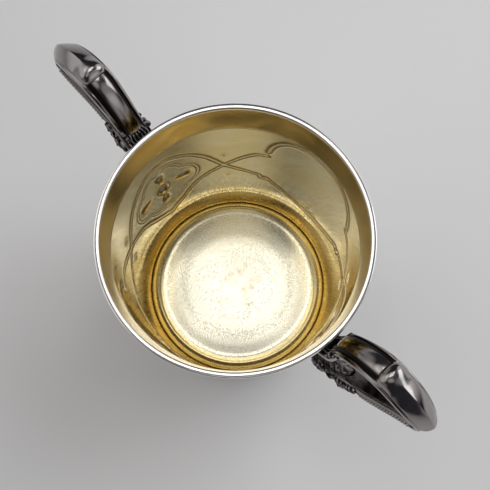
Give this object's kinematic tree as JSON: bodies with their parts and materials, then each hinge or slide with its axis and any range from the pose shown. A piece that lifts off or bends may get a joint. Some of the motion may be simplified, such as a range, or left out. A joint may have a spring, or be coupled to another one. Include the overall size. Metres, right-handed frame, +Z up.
{
  "type": "sugar bowl",
  "caption": "Open two-handled sugar bowl in silver plate: gilt drum body with flared lip, rim wire, raised bottom, low foot and high cast loop handles with thumb rests and beaded legs",
  "frame": {"origin": "middle of the foot, on the surface the bowl stands on", "axes": "+Z up, +X along the line through the two handles, +Y across it"},
  "size_m": [0.1896, 0.103, 0.1262],
  "materials": {
    "body_silver": "polished silver plate outside, gilt inside",
    "bottom_gilt": "worn matte gilt with circular brushing",
    "mount_silver": "bright polished silver plate",
    "handle_silver": "polished silver with dark oxide in the hollows",
    "ornament_silver": "cast silver with dark oxidised ground"
  },
  "bodies": {
    "root": {"bowl_body": "body_silver", "rim_wire": "mount_silver", "bottom_plate": "bottom_gilt", "foot_ring": "mount_silver", "foot_wire": "mount_silver", "right_handle_arm": "handle_silver", "right_handle_leg": "handle_silver", "right_strap": "handle_silver", "right_thumb_rest": "handle_silver", "right_palmette": "ornament_silver", "right_upper_socket": "ornament_silver", "right_lower_socket": "ornament_silver", "right_leaf": "ornament_silver", "right_front_beads": "ornament_silver", "right_back_beads": "ornament_silver", "right_front_scrolls": "ornament_silver", "right_back_scrolls": "ornament_silver", "left_handle_arm": "handle_silver", "left_handle_leg": "handle_silver", "left_strap": "handle_silver", "left_thumb_rest": "handle_silver", "left_palmette": "ornament_silver", "left_upper_socket": "ornament_silver", "left_lower_socket": "ornament_silver", "left_leaf": "ornament_silver", "left_front_beads": "ornament_silver", "left_back_beads": "ornament_silver", "left_front_scrolls": "ornament_silver", "left_back_scrolls": "ornament_silver"}
  },
  "joints": []
}
